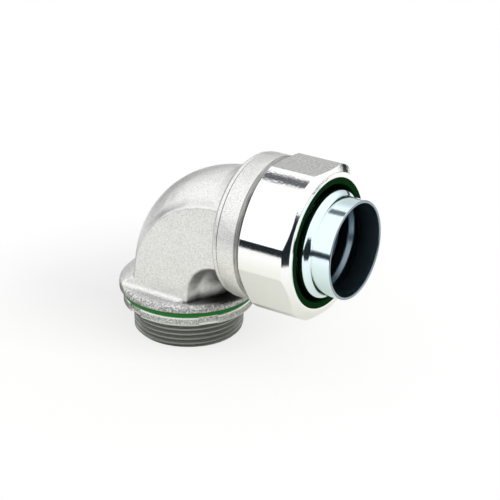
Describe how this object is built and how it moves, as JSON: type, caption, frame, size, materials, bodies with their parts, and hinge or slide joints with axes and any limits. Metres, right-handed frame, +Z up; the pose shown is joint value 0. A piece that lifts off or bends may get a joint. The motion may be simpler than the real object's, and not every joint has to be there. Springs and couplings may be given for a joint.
{
  "type": "liquidtight conduit connector",
  "caption": "Right-angle fitting that joins liquidtight flexible metal conduit to a box wall, with a gland nut and ferrule at one end and a threaded hub with locknut at the other.",
  "frame": {"origin": "centre of the hub's lower end, on the hub's axis", "axes": "+Z up the hub's axis towards the elbow, +X along the gland's axis, the way the conduit leaves"},
  "size_m": [0.1113, 0.0648, 0.0866],
  "materials": {
    "cast_iron_plated": "cast surface, bright zinc plated",
    "nut_plated": "machined flats, bright zinc plated",
    "green_seal": "moulded dark green thermoplastic",
    "steel_plated": "rolled steel, bright zinc plated",
    "green_washer": "green sealing washer",
    "locknut_plated": "zinc plated"
  },
  "bodies": {
    "fitting": {"body": "cast_iron_plated", "ferrule": "steel_plated"},
    "seal": {"sealing_ring": "green_seal"},
    "nut": {"gland_nut": "nut_plated"},
    "washer": {"gasket": "green_washer"},
    "lock": {"locknut": "locknut_plated"}
  },
  "joints": [
    {"name": "nut_travel", "type": "slide", "parent": "fitting", "child": "seal", "axis": [1, 0, 0], "range_m": [0, 0.009]},
    {"name": "nut_turn", "type": "hinge", "parent": "seal", "child": "nut", "pos_m": [0.06, 0, 0.0555], "axis": [1, 0, 0], "range_deg": [0, 1480]},
    {"name": "locknut_travel", "type": "slide", "parent": "fitting", "child": "washer", "axis": [0, 0, -1], "range_m": [0, 0.009]},
    {"name": "locknut_turn", "type": "hinge", "parent": "washer", "child": "lock", "pos_m": [0, 0, 0.0144], "axis": [0, 0, -1], "range_deg": [0, 1480]}
  ],
  "couplings": [
    {"joint": "nut_turn", "follows": "nut_travel", "rad_per_m": 2856},
    {"joint": "locknut_turn", "follows": "locknut_travel", "rad_per_m": 2844.8}
  ]
}
